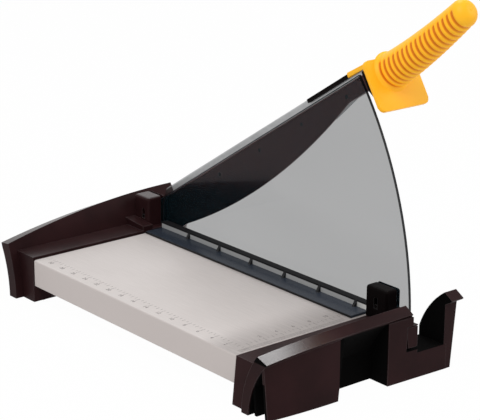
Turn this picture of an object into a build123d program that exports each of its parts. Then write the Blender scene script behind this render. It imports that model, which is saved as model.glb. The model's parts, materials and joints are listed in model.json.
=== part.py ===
from build123d import *
import os
from math import cos, radians, sin, sqrt

# Paper cutter with a lever blade, in millimetres.
# While modelling, x = 0 is the plane where the two blades shear, with the bed on the left (-X).
# y = 0 is the front end of the bed and the rear end is at +Y. z = 0 is the table.
# At the end everything moves sideways so that the origin is under the middle of the whole cutter.

# Bed tray, bent from sheet
bed_length = 325.0
bed_width = 171.0
bed_height = 47.0
sheet = 1.2
bend_radius = 2.0
apron_drop = 27.5
hem_width = 9.0
stiffener_width = 40.0
stiffener_drop = 16.0

# Fixed knife on the right wall of the tray
knife_thickness = 3.0
knife_depth = 22.0
knife_end_gap = 0.5
knife_screw_count = 6
knife_screw_radius = 2.0
knife_screw_inset = 22.0
knife_screw_length = 9.0
countersink_radius = 3.6
countersink_depth = 1.7
head_recess = 0.3
nut_radius = 4.0
nut_thickness = 3.2

# General fits
fit = 0.05                # screws and pins in their holes
seam = 0.3                # between neighbouring mouldings and beside moving pieces
wall = 3.0                # moulded wall

# Screws of the mouldings
screw_radius = 1.6
screw_head_radius = 3.2
screw_head_height = 2.4
screw_grip = 11.0

# End caps. Distances named foot, rim and so on count outwards from the end of the bed.
foot_clear = 1.5          # underside of the caps above the table
cap_overhang = 0.5        # caps stand out to the left of the bed
cap_lean = 4.5            # the front cap's left side leans out to its foot
cap_cells = 4
fin_overhang = 9.5        # fins stand out to the left of the bed
fin_stations = 7
rim_width = 12.5
rim_lip_taper = 1.5
front_foot_in = 18.0
front_foot_out = 27.0
front_flare_radius = 97.0
front_rim_left = 59.8
front_rim_right = 70.0
front_rim_rise = 2.8
front_drop_left = 4.2
front_drop_right = 5.8
front_rim_thickness = 2.2
front_rim_narrows = 2.5   # the front rim is this much narrower at its right end
front_fin_clear = 9.0     # gap between the front fin's right end and the guard
rear_foot_in = 20.0
rear_foot_out = 32.0
rear_flare_radius = 140.0
rear_rim_left = 57.5
rear_rim_right = 79.5
rear_rim_rise = 2.0
rear_drop_left = 1.7
rear_drop_right = 8.0
rear_rim_thickness = 4.5
rear_fin_reach = 34.5     # right end of the rear fin, from the shear plane
rear_ledge = 2.5          # rear cap body above the bed, a stop for the paper
front_wall_face = 34.0
front_wall_height = 50.0
panel_width = 87.8
panel_left_face = 48.0
panel_right_face = 54.0
panel_left_taper = 4.5    # the panel narrows towards its foot
panel_right_taper = 6.0

# Cradle that takes the neck of the lowered arm
notch_left = -9.5
notch_right = 23.5
notch_floor = 26.5
cradle_block_width = 35.0
cradle_block_height = 54.0
cradle_turn = 3.5         # the face turns out to the right
plate_gap = 3.0           # between the cradle's lip and the handle's plate
cradle_back = 28.0
post_width = 15.0
post_lean = 6.0           # the post's right side leans outwards
post_shoulder = 65.5
post_top = 77.0
post_back_height = 36.0
lip_reach = 8.5
lip_drop = 6.0

# Lock catch in the notch's left wall
catch_width = 13.0
catch_depth = 12.0
catch_bottom = 32.8
catch_slot = 2.6
catch_head = 0.8          # space above the catch
catch_taper = 1.8         # room for the catch's lower end to swing
catch_pin_radius = 1.5
catch_pin_drop = 3.6
catch_pin_grip = 4.0
catch_nub_radius = 2.2

# Guide posts and guard
guard_plane = -4.5
guard_thickness = 3.0
guard_lift = 6.0
guard_overrun = 40.0      # radius of the guard beyond the length of the bed
guard_centre_back = 3.1
guard_centre_drop = 0.5
guard_top_angle = 32.3
guard_corner_angle = 37.4
guard_bottom_gap = 3.5
guard_tail_height = 60.0
guide_post_right = -0.5
guide_post_edge = 3.0
front_post_left = -18.5
front_post_depth = 29.0
front_post_lap = 2.0      # front post reaches over the bed
front_post_height = 30.5
rear_post_left = -23.3
rear_post_depth = 25.0
rear_post_setback = 8.0
rear_post_height = 31.0
plinth_width = 12.7       # wedge on the rear cap, beside the rear post
plinth_front_rise = 4.5
plinth_rear_rise = 8.0
guard_pin_radius = 2.0
guard_pin_height = 9.0
clamp_width = 29.0
clamp_thickness = 2.2
clamp_step = 7.5          # top flange of the clamp, from the guard to its upright
clamp_rise = 8.7
clamp_lift = 0.3          # paper gap under the clamp
clamp_end_gap = 3.0
rib_count = 6
rib_front_inset = 19.5
rib_rear_inset = 50.5
rib_width = 3.0
rib_reach = 4.0

# Pivot
pivot_setback = 11.0
pivot_drop = 7.0
raise_angle = 32.2        # the arm above level at rest
lower_angle = -1.8        # the arm in its cradle
stud_radius = 4.0
stud_flange_radius = 6.5
stud_flange_thickness = 2.5
bush_wall = 2.5
hub_radius = 13.0
bracket_thickness = 6.0
bracket_flange_width = 34.0
bracket_flange_thickness = 3.0
bracket_bottom = 16.0
bracket_screw_radius = 2.0
washer_radius = 11.0
washer_thickness = 1.5
disc_radius = 9.5
disc_thickness = 0.8
disc_rise = 1.2
pivot_nut_radius = 7.5
pivot_nut_thickness = 6.5
stack_gap = 0.1

# Blade and arm. Along counts from the pivot towards the handle, and up is square to it.
blade_gap = 0.15          # shear clearance
blade_thickness = 2.5
blade_back = 31.0
blade_heel_along = 42.0
blade_heel_up = -6.3
blade_belly_along = 150.0
blade_belly_up = -13.3
blade_tip_inset = 37.6    # end of the edge, before the neck
blade_tip_up = 15.0
blade_bevel = 1.2
blade_bevel_height = 4.0
beam_thickness = 11.0
beam_bottom = 11.0
beam_back = 39.5
beam_chamfer = 1.5
beam_solid_end = 74.6     # the beam has no pockets this near the neck
beam_tip_rise = 2.5       # underside of the beam above the blade's tip
beam_hood_up = 35.5
trim_length = 65.0
beam_web = 4.0
beam_rib = 5.0
beam_pockets = 5
beam_flange = 3.5
blade_screw_count = 5
blade_screw_radius = 2.0

# Neck, between guard and handle
neck_gap = 19.6           # from the guard's radius to the neck
neck_length = 23.9
neck_left = -6.5
neck_right = 20.5
neck_bottom = 14.0
neck_top = 32.0
hook_slope = 5.4
hook_bottom = 0.5
tang_thickness = 7.0
tang_bottom = 15.0
tang_top = 29.0
tang_depth = 70.0

# Handle
handle_centre = 2.5       # middle of the grip, from the shear plane
plate_thickness = 4.0
plate_width = 60.0
plate_shift = 1.7          # the plate reaches further right than left
plate_bottom = -15.0
plate_top = 34.0
plate_corner = 5.0
grip_length = 106.5
grip_base_radius = 17.3
grip_end_radius = 12.8
grip_end_round = 10.0
grip_base_up = 20.0
grip_end_up = 30.5
grip_stations = 4
grip_curve = 1.7          # the grip bends up towards its end
groove_count = 17
groove_first = 4.0
groove_pitch = 6.3
groove_width = 2.6
groove_depth = 1.1
groove_free = 9.0         # half width of the smooth strip on top
hood_lap = 26.6           # the hood reaches over the beam
hood_left = -0.2
hood_right = 9.0
hood_top = 40.5
hood_slope = 1.5          # the hood sinks this far over the neck
handle_screw_radius = 2.0
handle_screw_spacing = 34.0
handle_screw_first = 16.0

# Rubber feet
foot_radius = 7.0
foot_height = 4.5
foot_boss_wall = 1.8
foot_boss_height = 6.0
foot_inset = 14.0
rear_foot_right = -52.0

# Places worked out from the sizes
bed_right = -knife_thickness
bed_left = bed_right - bed_width
bed_under = bed_height - sheet
apron_bottom = bed_height - apron_drop
cap_left = bed_left - cap_overhang
fin_left = bed_left - fin_overhang
guard_left = guard_plane - guard_thickness / 2
guard_right = guard_plane + guard_thickness / 2
front_fin_right = guard_left - front_fin_clear
guard_bottom = bed_height + guard_bottom_gap
cradle_left = notch_left - cradle_block_width
post_right = notch_right + post_width
rear_top = bed_height + rear_ledge
pivot_y = bed_length + pivot_setback
pivot_z = bed_height - pivot_drop
blade_left = blade_gap
blade_right = blade_left + blade_thickness
beam_right = blade_right + beam_thickness
guard_radius = bed_length + guard_overrun
neck_start = guard_radius + neck_gap
hook_start = neck_start + hook_slope
plate_along = neck_start + neck_length
plate_face = plate_along + plate_thickness
hood_start = neck_start - hood_lap
trim_start = hood_start - trim_length
blade_tip_along = neck_start - blade_tip_inset
beam_pocket_end = neck_start - beam_solid_end
cradle_right_face = plate_along - pivot_y - plate_gap - lip_reach
cradle_left_face = cradle_right_face - cradle_turn
bush_radius = stud_radius + fit + bush_wall
bracket_right = -seam
bracket_left = bracket_right - bracket_thickness
bracket_length = rear_foot_in - 2 * seam
foot_drop_in = foot_height - foot_clear


def block(x0, x1, y0, y1, z0, z1):
    """A box between two corners."""
    return Pos((x0 + x1) / 2, (y0 + y1) / 2, (z0 + z1) / 2) * Box(x1 - x0, y1 - y0, z1 - z0)


def rod_x(x0, x1, y, z, radius):
    return Pos((x0 + x1) / 2, y, z) * Rot(0, 90, 0) * Cylinder(radius, x1 - x0)


def rod_y(y0, y1, x, z, radius):
    return Pos(x, (y0 + y1) / 2, z) * Rot(90, 0, 0) * Cylinder(radius, y1 - y0)


def rod_z(z0, z1, x, y, radius):
    return Pos(x, y, (z0 + z1) / 2) * Cylinder(radius, z1 - z0)


def side_slab(outline, x0, x1):
    """A slab across X from an outline drawn in (y, z)."""
    plane = Plane(origin=(x0, 0, 0), x_dir=(0, 1, 0), z_dir=(1, 0, 0))
    return extrude(plane * make_face(outline), amount=x1 - x0)


def plan_slab(outline, z0, z1):
    """A slab with an outline drawn in (x, y), between two heights."""
    return extrude(Pos(0, 0, z0) * make_face(outline), amount=z1 - z0)


def front_slab(outline, y0, y1):
    """A slab with an outline drawn in (x, z), between two distances outwards."""
    return extrude(Plane.XZ.offset(-y1) * make_face(outline), amount=y1 - y0)


def arm_slab(outline, x0, x1):
    """A slab of the arm, pivot at the origin, from an outline drawn in (along, up)."""
    plane = Plane(origin=(x1, 0, 0), x_dir=(0, -1, 0), z_dir=(-1, 0, 0))
    return extrude(plane * make_face(outline), amount=x1 - x0)


def raised(solid):
    """Turns a solid of the arm up to its rest angle, on its pivot."""
    return Pos(0, pivot_y, pivot_z) * Rot(-raise_angle, 0, 0) * solid


def at_front(solid):
    """From outward distances to the front end of the bed."""
    return mirror(solid, about=Plane.XZ)


def at_rear(solid):
    """From outward distances to the rear end of the bed."""
    return Pos(0, bed_length, 0) * solid


def polygon(*points):
    return Polyline(*points, close=True)


def spread(first, last, count):
    """Evenly spaced places from first to last."""
    return [first + (last - first) * i / (count - 1) for i in range(count)]


# Fasteners

def screw_y(head_y, direction, x, z, radius=screw_radius, length=screw_grip):
    """A pan-head screw along Y. The head's seat is at head_y and the shank points in direction."""
    tip = head_y + direction * length
    top = head_y - direction * screw_head_height
    shank = rod_y(min(head_y, tip), max(head_y, tip), x, z, radius)
    head = rod_y(min(head_y, top), max(head_y, top), x, z, screw_head_radius)
    return shank + head


def screw_z(head_z, x, y, length=screw_grip):
    """A pan-head screw that points up from its head's seat."""
    return rod_z(head_z, head_z + length, x, y, screw_radius) + rod_z(
        head_z - screw_head_height, head_z, x, y, screw_head_radius)


def countersunk_x(face_x, y, z, length, grow=0.0):
    """A countersunk screw that points to -X from a flush face."""
    head = Pos(face_x - countersink_depth / 2, y, z) * Rot(0, 90, 0) * Cone(
        knife_screw_radius + grow, countersink_radius + grow, countersink_depth)
    return head + rod_x(face_x - length, face_x, y, z, knife_screw_radius + grow)


def hex_nut_x(x0, x1, y, z, radius, bore):
    blank = Pos(x0, y, z) * Rot(0, 90, 0) * extrude(RegularPolygon(radius, 6), amount=x1 - x0)
    return blank - rod_x(x0 - 1, x1 + 1, y, z, bore)


knife_screw_places = spread(knife_screw_inset, bed_length - knife_screw_inset, knife_screw_count)
knife_screw_z = bed_height - knife_depth / 2
cap_cell_edges = spread(cap_left + wall, bed_right - wall, cap_cells + 1)
cap_screw_x = [(cap_cell_edges[i] + cap_cell_edges[i + 1]) / 2 for i in (0, 2)]
cap_screw_z = apron_bottom + apron_drop / 2
cover_screw_x = [(cap_cell_edges[i] + cap_cell_edges[i + 1]) / 2 for i in (1, 2)]
cover_screw_z = foot_clear + 3 * wall
bracket_screw_x = [bracket_right - bracket_flange_width * share for share in (0.45, 0.8)]
bracket_screw_z = (bracket_bottom + bed_under) / 2
front_post_screw_x = (front_post_left + guard_left) / 2
rear_post_screw_x = (rear_post_left + guard_left) / 2


# Bed

def make_bed_tray():
    outer = block(bed_left, bed_right, 0, bed_length, apron_bottom, bed_height)
    outer = fillet(outer.edges().filter_by(Axis.Z) + outer.faces().sort_by(Axis.Z)[-1].edges(), bend_radius)
    inner = block(bed_left + sheet, bed_right - sheet, sheet, bed_length - sheet,
                  apron_bottom - 1, bed_under)
    tray = outer - inner
    tray += block(bed_left + sheet, bed_left + sheet + hem_width, sheet, bed_length - sheet,
                  apron_bottom, apron_bottom + sheet)
    for y in knife_screw_places:
        tray -= rod_x(bed_right - 2 * sheet, bed_right + 1, y, knife_screw_z, knife_screw_radius + fit)
    for x in cap_screw_x:
        tray -= rod_y(-1, 2 * sheet, x, cap_screw_z, screw_radius + fit)
        tray -= rod_y(bed_length - 2 * sheet, bed_length + 1, x, cap_screw_z, screw_radius + fit)
    for x in bracket_screw_x:
        tray -= rod_y(bed_length - 2 * sheet, bed_length + 1, x, bracket_screw_z,
                      bracket_screw_radius + fit)
    return tray


def make_bed_stiffener():
    middle = bed_length / 2
    half = stiffener_width / 2
    left = bed_left + sheet
    right = bed_right - sheet
    outer = block(left, right, middle - half, middle + half, bed_under - stiffener_drop, bed_under)
    return outer - block(left - 1, right + 1, middle - half + sheet, middle + half - sheet,
                         bed_under - stiffener_drop + sheet, bed_under + 1)


def make_fixed_knife():
    knife = block(bed_right, 0, knife_end_gap, bed_length - knife_end_gap,
                  bed_height - knife_depth, bed_height)
    for y in knife_screw_places:
        knife -= countersunk_x(-head_recess, y, knife_screw_z, 2 * knife_thickness, fit)
        knife -= rod_x(-head_recess, 1, y, knife_screw_z, countersink_radius + fit)
    return knife


def make_knife_screws():
    return [countersunk_x(-head_recess, y, knife_screw_z, knife_screw_length) for y in knife_screw_places]


def make_knife_nuts():
    seat = bed_right - sheet
    return [hex_nut_x(seat - nut_thickness, seat, y, knife_screw_z, nut_radius, knife_screw_radius + fit)
            for y in knife_screw_places]


# End caps

def flare(foot, radius, z):
    """Outward distance of a flared face at height z, upright at the table."""
    return foot + radius - sqrt(radius ** 2 - z ** 2)


def beyond_flare(foot, radius, height, gap=0.0):
    """Everything outwards of a flared face, which goes straight up from a height."""
    start = (foot - gap, 0)
    middle = (flare(foot, radius, height / 2) - gap, height / 2)
    end = (flare(foot, radius, height) - gap, height)
    far = end[0] + 10 * rim_width
    outline = ThreePointArc(start, middle, end)
    outline += Polyline(end, (end[0], 2 * post_top), (far, 2 * post_top), (far, 0), start)
    return side_slab(outline, fin_left - rim_width, rear_fin_reach + 4 * post_width)


def fin_section(x, foot_in, foot_out, radius, rim_height, rim_reach, rim_drop, rim_thickness):
    """A slice across a fin: upright at the foot, flared outwards to a canted rim."""
    inner_rim = (flare(foot_in, radius, rim_height), rim_height)
    inner_foot = (flare(foot_in, radius, foot_clear), foot_clear)
    inner_middle = (flare(foot_in, radius, rim_height / 2), rim_height / 2)
    outer_rim = (inner_rim[0] + rim_reach, rim_height - rim_drop)
    under_rim = (outer_rim[0] - rim_lip_taper, outer_rim[1] - rim_thickness)
    outer_foot = (foot_out, foot_clear)
    outer_middle = (foot_out + (under_rim[0] - foot_out) / 4, (foot_clear + under_rim[1]) / 2)
    outline = Line(inner_foot, outer_foot) + ThreePointArc(outer_foot, outer_middle, under_rim)
    outline += Polyline(under_rim, outer_rim, inner_rim)
    outline += ThreePointArc(inner_rim, inner_middle, inner_foot)
    plane = Plane(origin=(x, 0, 0), x_dir=(0, 1, 0), z_dir=(1, 0, 0))
    return plane * make_face(outline)


def rim_height(share, left, right, rise):
    """Height of a rim, which rises steeply at first and levels out to the right."""
    return left + (right - left) * (1 - (1 - share) ** rise)


def cap_fin(right, foot_in, foot_out, radius, rim, drop_left, drop_right, thickness, narrows=0.0):
    """A fin along the whole cap, with a rim that rises to the right and cants more there."""
    sections = []
    for share in spread(0.0, 1.0, fin_stations):
        x = fin_left + (right - fin_left) * share
        drop = drop_left + (drop_right - drop_left) * share
        sections.append(fin_section(x, foot_in, foot_out, radius, rim_height(share, *rim),
                                    rim_width - narrows * share, drop, thickness))
    return loft(sections)


front_rim = (front_rim_left, front_rim_right, front_rim_rise)
rear_rim = (rear_rim_left, rear_rim_right, rear_rim_rise)


def under_front_rim(x):
    """Height of the outer edge's underside on the front fin."""
    share = (x - fin_left) / (front_fin_right - fin_left)
    drop = front_drop_left + (front_drop_right - front_drop_left) * share
    return rim_height(share, *front_rim) - drop - front_rim_thickness


def foot_boss(x, out, height):
    """A boss inside a cap that holds a rubber foot."""
    return rod_z(foot_clear, foot_clear + height, x, out, foot_radius + foot_boss_wall)


def foot_socket(x, out):
    return rod_z(0, foot_clear + foot_drop_in, x, out, foot_radius + fit)


def cap_body(foot, radius, top, cell_count, feet_x):
    """The hollow inner block of a cap, from the end of the bed to the flared cover."""
    body = block(cap_left, bed_right, 0, 2 * foot, foot_clear, top)
    body -= beyond_flare(foot, radius, top, seam)
    for i in range(cell_count):
        body -= block(cap_cell_edges[i] + wall / 2, cap_cell_edges[i + 1] - wall / 2,
                      wall, foot - wall, 0, top - wall)
    for x in cap_screw_x:
        boss = rod_y(wall, foot - wall, x, cap_screw_z, 3 * screw_radius)
        body += boss
        body -= rod_y(-1, foot - wall, x, cap_screw_z, screw_radius + fit)
    for x in cover_screw_x:
        body -= rod_y(foot / 2, 2 * foot, x, cover_screw_z, screw_radius + fit)
    for x in feet_x:
        body += foot_boss(x, foot / 2, foot_boss_height)
        body -= foot_socket(x, foot / 2)
    return body


front_left_foot = (cap_left + foot_inset, front_foot_in / 2)
front_right_foot = ((notch_left + notch_right) / 2, (cradle_back + cradle_left_face) / 2)
rear_left_foot = (cap_left + foot_inset, rear_foot_in / 2)
rear_right_foot = (rear_foot_right, rear_foot_in / 2)
front_post_back = front_post_depth - front_post_lap
front_post_screws = [front_foot_in / 2]
rear_post_screws = [rear_post_setback + rear_post_depth * share for share in (0.2, 0.55)]


def make_front_cap_body():
    body = cap_body(front_foot_in, front_flare_radius, bed_height, cap_cells, [front_left_foot[0]])
    side = polygon((cap_left, bed_height), (cap_left, foot_clear), (cap_left - cap_lean, foot_clear))
    lean = front_slab(side, 0, 2 * front_foot_in)
    body += lean - beyond_flare(front_foot_in, front_flare_radius, bed_height, seam)
    for out in front_post_screws:
        body -= rod_z(bed_height - 2 * wall, bed_height + 1, front_post_screw_x, out, screw_radius + fit)
    return at_front(body)


def cradle_face(x):
    """Outward distance of the cradle's front face, which turns a little to the right."""
    share = (x - cradle_left) / (post_right - cradle_left)
    return cradle_left_face + (cradle_right_face - cradle_left_face) * share


def cradle_plan(x0, x1, back):
    return polygon((x0, back), (x0, cradle_face(x0)), (x1, cradle_face(x1)), (x1, back))


def leaning_side():
    """Everything left of the post's leaning right side."""
    outline = polygon((cradle_left - 1, 0), (post_right - post_lean, 0), (post_right, post_shoulder),
                      (post_right, 2 * post_top), (cradle_left - 1, 2 * post_top))
    return front_slab(outline, -cradle_right_face, 3 * cradle_right_face)


def make_cradle():
    """The left block, the floor and the post with its curved back and canted lip."""
    left = plan_slab(cradle_plan(cradle_left, notch_left, front_wall_face - wall),
                     foot_clear, cradle_block_height)
    left -= block(cradle_left + wall, notch_left - catch_width - 2 * wall, front_wall_face,
                  cradle_left_face - wall, 0, cradle_block_height - wall)
    left += plan_slab(cradle_plan(cradle_left, front_fin_right, front_wall_face - wall),
                      cradle_block_height - wall, under_front_rim(front_fin_right))
    floor = plan_slab(cradle_plan(notch_left - wall, notch_right + wall, cradle_back),
                      foot_clear, notch_floor)
    floor -= block(notch_left + wall, notch_right - wall, cradle_back + wall, cradle_left_face - wall,
                   0, notch_floor - wall)
    floor += foot_boss(*front_right_foot, notch_floor - wall)
    floor -= foot_socket(*front_right_foot)
    face = cradle_face(notch_right)
    lip_face = face + lip_reach
    profile = Polyline((cradle_back, foot_clear), (face, foot_clear), (face, post_shoulder),
                       (lip_face - rim_lip_taper, post_top - lip_drop - rim_lip_taper),
                       (lip_face, post_top - lip_drop), (face - rim_lip_taper, post_top))
    curve_middle = ((cradle_back + face) / 2, post_back_height + 0.68 * (post_top - post_back_height))
    profile += ThreePointArc((face - rim_lip_taper, post_top), curve_middle,
                             (cradle_back, post_back_height))
    profile += Line((cradle_back, post_back_height), (cradle_back, foot_clear))
    post = side_slab(profile, notch_right, post_right)
    return left + floor + (post & leaning_side())


def make_front_cap_cover():
    cover = cap_fin(front_fin_right, front_foot_in, front_foot_out, front_flare_radius,
                    front_rim, front_drop_left, front_drop_right, front_rim_thickness, front_rim_narrows)
    panel_left = fin_left
    panel_right = panel_left + panel_width
    wall_left = panel_left + panel_left_taper + wall
    backing = block(wall_left, cradle_left + wall, front_foot_out - wall, front_wall_face,
                    foot_clear, front_wall_height)
    middle = ((panel_left + panel_right) / 2, (panel_left_face + panel_right_face) / 2 + rim_lip_taper)
    face = ThreePointArc((panel_left, panel_left_face), middle, (panel_right, panel_right_face))
    back = front_wall_face - wall
    sides = Polyline((panel_right, panel_right_face), (panel_right, back),
                     (panel_left, back), (panel_left, panel_left_face))
    panel = plan_slab(face + sides, foot_clear, front_rim_right)
    top = [(x, under_front_rim(x)) for x in spread(panel_right, panel_left, fin_stations)]
    tapered = polygon((panel_left + panel_left_taper, foot_clear),
                      (panel_right - panel_right_taper, foot_clear), *top)
    panel &= front_slab(tapered, 0, 2 * panel_right_face)
    cells = spread(panel_left - 2 * wall, panel_right - panel_right_taper - wall, 3)
    for start, end in zip(cells, cells[1:]):
        panel -= block(start + wall / 2, end - wall / 2, front_wall_face, panel_left_face - wall,
                       0, under_front_rim(panel_left) - wall)
    joined = backing + panel + make_cradle()
    cover += joined & beyond_flare(front_foot_in, front_flare_radius, front_rim_right)
    for x in cover_screw_x:
        cover -= rod_y(0, front_foot_out + wall, x, cover_screw_z, screw_radius + fit)
    cover -= catch_pocket()
    cover -= catch_pin(fit)
    return at_front(cover)


def make_rear_cap_body():
    body = cap_body(rear_foot_in, rear_flare_radius, rear_top, cap_cells - 1,
                    [rear_left_foot[0], rear_right_foot[0]])
    roof_under = bed_height + seam
    pocket_left = bracket_right - bracket_flange_width - wall
    body -= block(pocket_left, 1, -1, 3 * rear_foot_in, 0, roof_under)
    roof = block(bed_right - wall, guide_post_right, 0, 2 * rear_foot_in, roof_under, rear_top)
    body += roof - beyond_flare(rear_foot_in, rear_flare_radius, rear_top, seam)
    plinth_low = rear_top - rear_ledge / 2
    plinth = polygon((0, plinth_low), (0, rear_top + plinth_front_rise),
                     (2 * rear_foot_in, rear_top + plinth_rear_rise), (2 * rear_foot_in, plinth_low))
    plinth = side_slab(plinth, rear_post_left - plinth_width, rear_post_left - seam)
    body += plinth - beyond_flare(rear_foot_in, rear_flare_radius, rear_rim_left, seam)
    for out in rear_post_screws:
        body -= rod_z(roof_under - 1, rear_top + 1, rear_post_screw_x, out, screw_radius + fit)
    return at_rear(body)


def make_rear_cap_cover():
    cover = cap_fin(rear_fin_reach, rear_foot_in, rear_foot_out, rear_flare_radius,
                    rear_rim, rear_drop_left, rear_drop_right, rear_rim_thickness)
    for x in cover_screw_x:
        cover -= rod_y(0, rear_foot_out - wall, x, cover_screw_z, screw_radius + fit)
    return at_rear(cover)


def make_cap_screws():
    front = [screw_y(sheet, -1, x, cap_screw_z) for x in cap_screw_x]
    rear = [screw_y(bed_length - sheet, 1, x, cap_screw_z) for x in cap_screw_x]
    return front + rear


def make_cover_screws():
    front = [screw_y(wall - front_foot_in, -1, x, cover_screw_z) for x in cover_screw_x]
    rear = [screw_y(bed_length + rear_foot_in - wall, 1, x, cover_screw_z) for x in cover_screw_x]
    return front + rear


def make_foot(place, at_end):
    foot = rod_z(0, foot_height, place[0], place[1], foot_radius)
    return at_end(foot)


# Lock catch

def catch_pocket():
    return block(notch_left - catch_width, notch_left + 1, cradle_left_face - catch_depth,
                 2 * cradle_right_face, catch_bottom - catch_slot, cradle_block_height - catch_head)


catch_pin_x = notch_left - catch_width / 2
catch_pin_z = cradle_block_height - catch_head - catch_pin_drop


def catch_pin(grow=0.0):
    pocket_back = cradle_left_face - catch_depth
    return rod_y(pocket_back - catch_pin_grip, cradle_left_face - wall, catch_pin_x, catch_pin_z,
                 catch_pin_radius + grow)


def make_lock_catch():
    left = notch_left - catch_width + 2 * seam
    right = notch_left - seam
    top = cradle_block_height - 2 * catch_head
    outline = polygon((left, top), (right, top), (right, catch_bottom), (left + catch_taper, catch_bottom),
                      (left, (top + catch_bottom) / 2))
    depth = cradle_left_face - catch_depth + seam
    catch = front_slab(outline, 0, 2 * cradle_right_face)
    catch = catch & plan_slab(cradle_plan(notch_left - catch_width, notch_left, depth), 0, post_top)
    nub = rod_y(depth, cradle_left_face, right - catch_nub_radius / 4,
                catch_bottom + catch_nub_radius, catch_nub_radius)
    catch += nub
    return at_front(catch - catch_pin(fit))


# Guide posts, guard and paper clamp

def guide_post(left, start, depth, base, height, pin_out):
    """A post with a slot for the guard, open at both ends and the top, and a side slot for its pin."""
    post = block(left, guide_post_right, start, start + depth, base, base + height)
    upper = post.faces().sort_by(Axis.Z)[-1].edges()
    post = fillet(upper + post.edges().filter_by(Axis.Z), guide_post_edge)
    post -= block(guard_left - seam, guard_right + seam, start - 1, start + depth + 1,
                  guard_bottom - seam, base + height + 1)
    half = guard_pin_radius + seam
    low = guard_bottom + guard_pin_height - half
    post -= block(left - 1, guard_left, pin_out - half, pin_out + half,
                  low, low + guard_lift + 2 * half)
    return post


front_pin_out = front_post_back * 0.45
rear_pin_out = rear_post_setback + rear_post_depth * 0.35
guard_pin_z = guard_bottom + guard_pin_height


def make_front_guide_post():
    post = guide_post(front_post_left, -front_post_lap, front_post_depth, bed_height, front_post_height,
                      front_pin_out)
    for out in front_post_screws:
        post -= rod_z(bed_height - 1, bed_height + screw_grip, front_post_screw_x, out, screw_radius + fit)
    return at_front(post)


def make_rear_guide_post():
    post = guide_post(rear_post_left, rear_post_setback, rear_post_depth,
                      rear_top, rear_post_height, rear_pin_out)
    post -= beyond_flare(rear_foot_in, rear_flare_radius, rear_rim_right, seam)
    for out in rear_post_screws:
        post -= rod_z(rear_top - 1, rear_top + screw_grip, rear_post_screw_x, out, screw_radius + fit)
    return at_rear(post)


def make_post_screws():
    front = [screw_z(bed_height - wall, front_post_screw_x, -out) for out in front_post_screws]
    rear = [screw_z(bed_height + seam, rear_post_screw_x, bed_length + out) for out in rear_post_screws]
    return front + rear


guard_centre_y = bed_length - guard_centre_back
guard_centre_z = bed_height - guard_centre_drop
guard_rear = bed_length + rear_post_setback + rear_post_depth / 2
guard_step = -front_post_back + guide_post_edge


def guard_arc_point(angle):
    return (guard_centre_y - guard_radius * cos(radians(angle)),
            guard_centre_z + guard_radius * sin(radians(angle)))


def make_guard_panel():
    """A flat clear sector that follows the sweep of the arm."""
    corner = guard_arc_point(guard_corner_angle)
    slope = sin(radians(guard_top_angle)) / cos(radians(guard_top_angle))
    rear_top_z = corner[1] - (guard_rear - corner[0]) * slope
    tail_rise = guard_tail_height - guard_centre_z
    tail = (guard_centre_y - sqrt(guard_radius ** 2 - tail_rise ** 2), guard_tail_height)
    outline = Polyline(corner, (guard_rear, rear_top_z), (guard_rear, guard_bottom),
                       (guard_step, guard_bottom), (guard_step, guard_tail_height), tail)
    outline += ThreePointArc(tail, guard_arc_point(guard_corner_angle / 2), corner)
    guard = side_slab(outline, guard_left, guard_right)
    for y in (-front_pin_out, bed_length + rear_pin_out):
        guard -= rod_x(guard_left - 1, guard_right + 1, y, guard_pin_z, guard_pin_radius + fit)
    return guard


def make_guard_pin(left, y):
    return rod_x(left + seam, guard_right, y, guard_pin_z, guard_pin_radius)


def make_paper_clamp():
    """A strip on the bed, stepped up to a flange that joins it to the guard, with gussets in the step."""
    low = bed_height + clamp_lift
    strip_top = low + clamp_thickness
    top = low + clamp_rise
    left = guard_left - clamp_width
    step = guard_left - clamp_step
    inner_step = step + clamp_thickness
    flange_low = top - clamp_thickness
    section = polygon((left, low), (inner_step, low), (inner_step, flange_low), (guard_left, flange_low),
                      (guard_left, top), (step, top), (step, strip_top), (left, strip_top))
    rear_end = bed_length - clamp_end_gap
    clamp = extrude(Plane.XZ.offset(-rear_end) * make_face(section), amount=rear_end - clamp_end_gap)
    gusset = make_face(polygon((step, strip_top), (step - rib_reach, strip_top), (step, top)))
    for y in spread(rib_front_inset, bed_length - rib_rear_inset, rib_count):
        clamp += extrude(Plane.XZ.offset(-y - rib_width / 2) * gusset, amount=rib_width)
    return clamp


# Pivot

def make_pivot_bracket():
    top = bed_height
    plate = block(bracket_left, bracket_right, 0, bracket_length, bracket_bottom, top)
    flange = block(bracket_right - bracket_flange_width, bracket_right, 0, bracket_flange_thickness,
                   bracket_bottom, bed_under)
    bracket = plate + flange - rod_x(bracket_left - 1, bracket_right + 1, pivot_setback, pivot_z,
                                     stud_radius + fit)
    for x in bracket_screw_x:
        bracket -= rod_y(-1, 2 * bracket_flange_thickness, x, bracket_screw_z, bracket_screw_radius + fit)
    return at_rear(bracket)


def make_bracket_screws():
    return [screw_y(bed_length - sheet, 1, x, bracket_screw_z, bracket_screw_radius)
            for x in bracket_screw_x]


washer_left = beam_right + stack_gap
disc_left = washer_left + washer_thickness
disc_stack = disc_thickness + disc_rise
nut_left = disc_left + 2 * disc_stack
stud_end = nut_left + pivot_nut_thickness + stack_gap * 10


def make_pivot_stud():
    flange = rod_x(bracket_left - stud_flange_thickness, bracket_left, pivot_y, pivot_z, stud_flange_radius)
    return flange + rod_x(bracket_left, stud_end, pivot_y, pivot_z, stud_radius)


def make_pivot_washer():
    washer = rod_x(washer_left, disc_left, pivot_y, pivot_z, washer_radius)
    return washer - rod_x(washer_left - 1, disc_left + 1, pivot_y, pivot_z, stud_radius + fit)


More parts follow.
